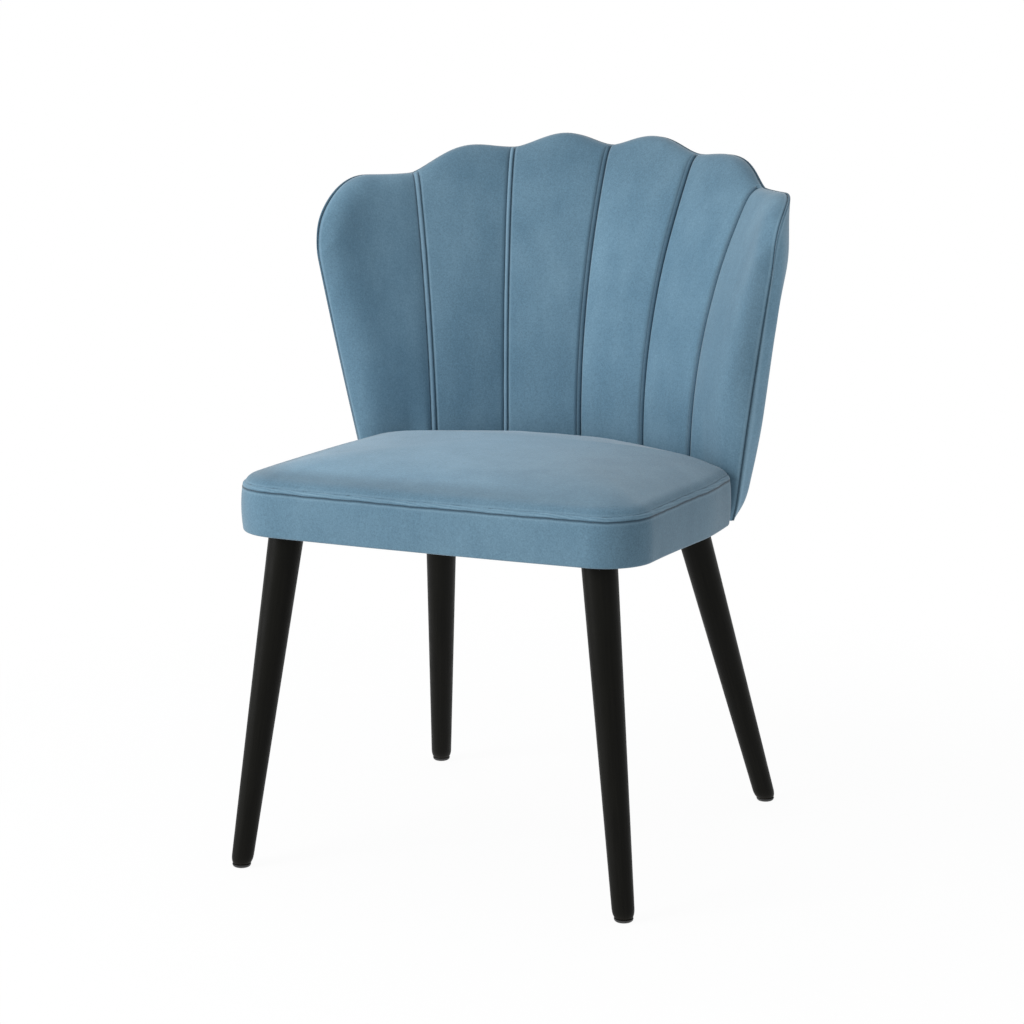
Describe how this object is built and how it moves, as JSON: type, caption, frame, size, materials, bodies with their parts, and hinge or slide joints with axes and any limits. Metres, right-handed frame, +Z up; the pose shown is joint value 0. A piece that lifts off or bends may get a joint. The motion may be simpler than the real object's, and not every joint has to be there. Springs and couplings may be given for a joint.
{
  "type": "upholstered dining chair",
  "caption": "Upholstered dining chair with a scalloped, channel-tufted shell back, a slab seat and tapered splayed wooden legs",
  "frame": {"origin": "on the floor, at the centre of the chair's bounding box seen from above", "axes": "+Z up, the sitter faces -Y, +X to the right of someone who faces the chair's front"},
  "size_m": [0.6048, 0.5571, 0.8243],
  "materials": {
    "cover_cloth": "dusty blue suede-like velvet with a short nap",
    "leg_lacquer": "near-black satin lacquer on turned wood",
    "glide_nylon": "black nylon",
    "frame_wood": "planed beech, unfinished",
    "dowel_wood": "fluted beech dowels",
    "plywood": "bent plywood, unfinished",
    "foam": "open-cell upholstery foam",
    "wadding": "white polyester wadding",
    "webbing": "woven elastic webbing",
    "dust_cloth": "black non-woven dust cloth",
    "zinc_steel": "zinc-plated steel",
    "insert_brass": "turned brass"
  },
  "bodies": {
    "root": {"seat_front_rail": "frame_wood", "seat_left_rail": "frame_wood", "seat_right_rail": "frame_wood", "seat_rear_rail": "frame_wood", "front_left_block": "frame_wood", "front_right_block": "frame_wood", "rear_left_block": "frame_wood", "rear_right_block": "frame_wood", "frame_dowels": "dowel_wood", "webbing_lengthwise": "webbing", "webbing_crosswise": "webbing", "seat_foam": "foam", "seat_top_cover": "cover_cloth", "seat_side_band": "cover_cloth", "seat_welt": "cover_cloth", "seat_dust_cover": "dust_cloth", "back_shell": "plywood", "back_foam": "foam", "back_inner_cover": "cover_cloth", "back_seam_welts": "cover_cloth", "back_outer_padding": "wadding", "back_outer_cover": "cover_cloth", "back_bolts": "zinc_steel", "back_tee_nuts": "zinc_steel", "front_left_leg": "leg_lacquer", "front_right_leg": "leg_lacquer", "rear_left_leg": "leg_lacquer", "rear_right_leg": "leg_lacquer", "leg_bolts": "zinc_steel", "leg_washers": "zinc_steel", "leg_inserts": "insert_brass", "front_left_glide": "glide_nylon", "front_right_glide": "glide_nylon", "rear_left_glide": "glide_nylon", "rear_right_glide": "glide_nylon"}
  },
  "joints": []
}
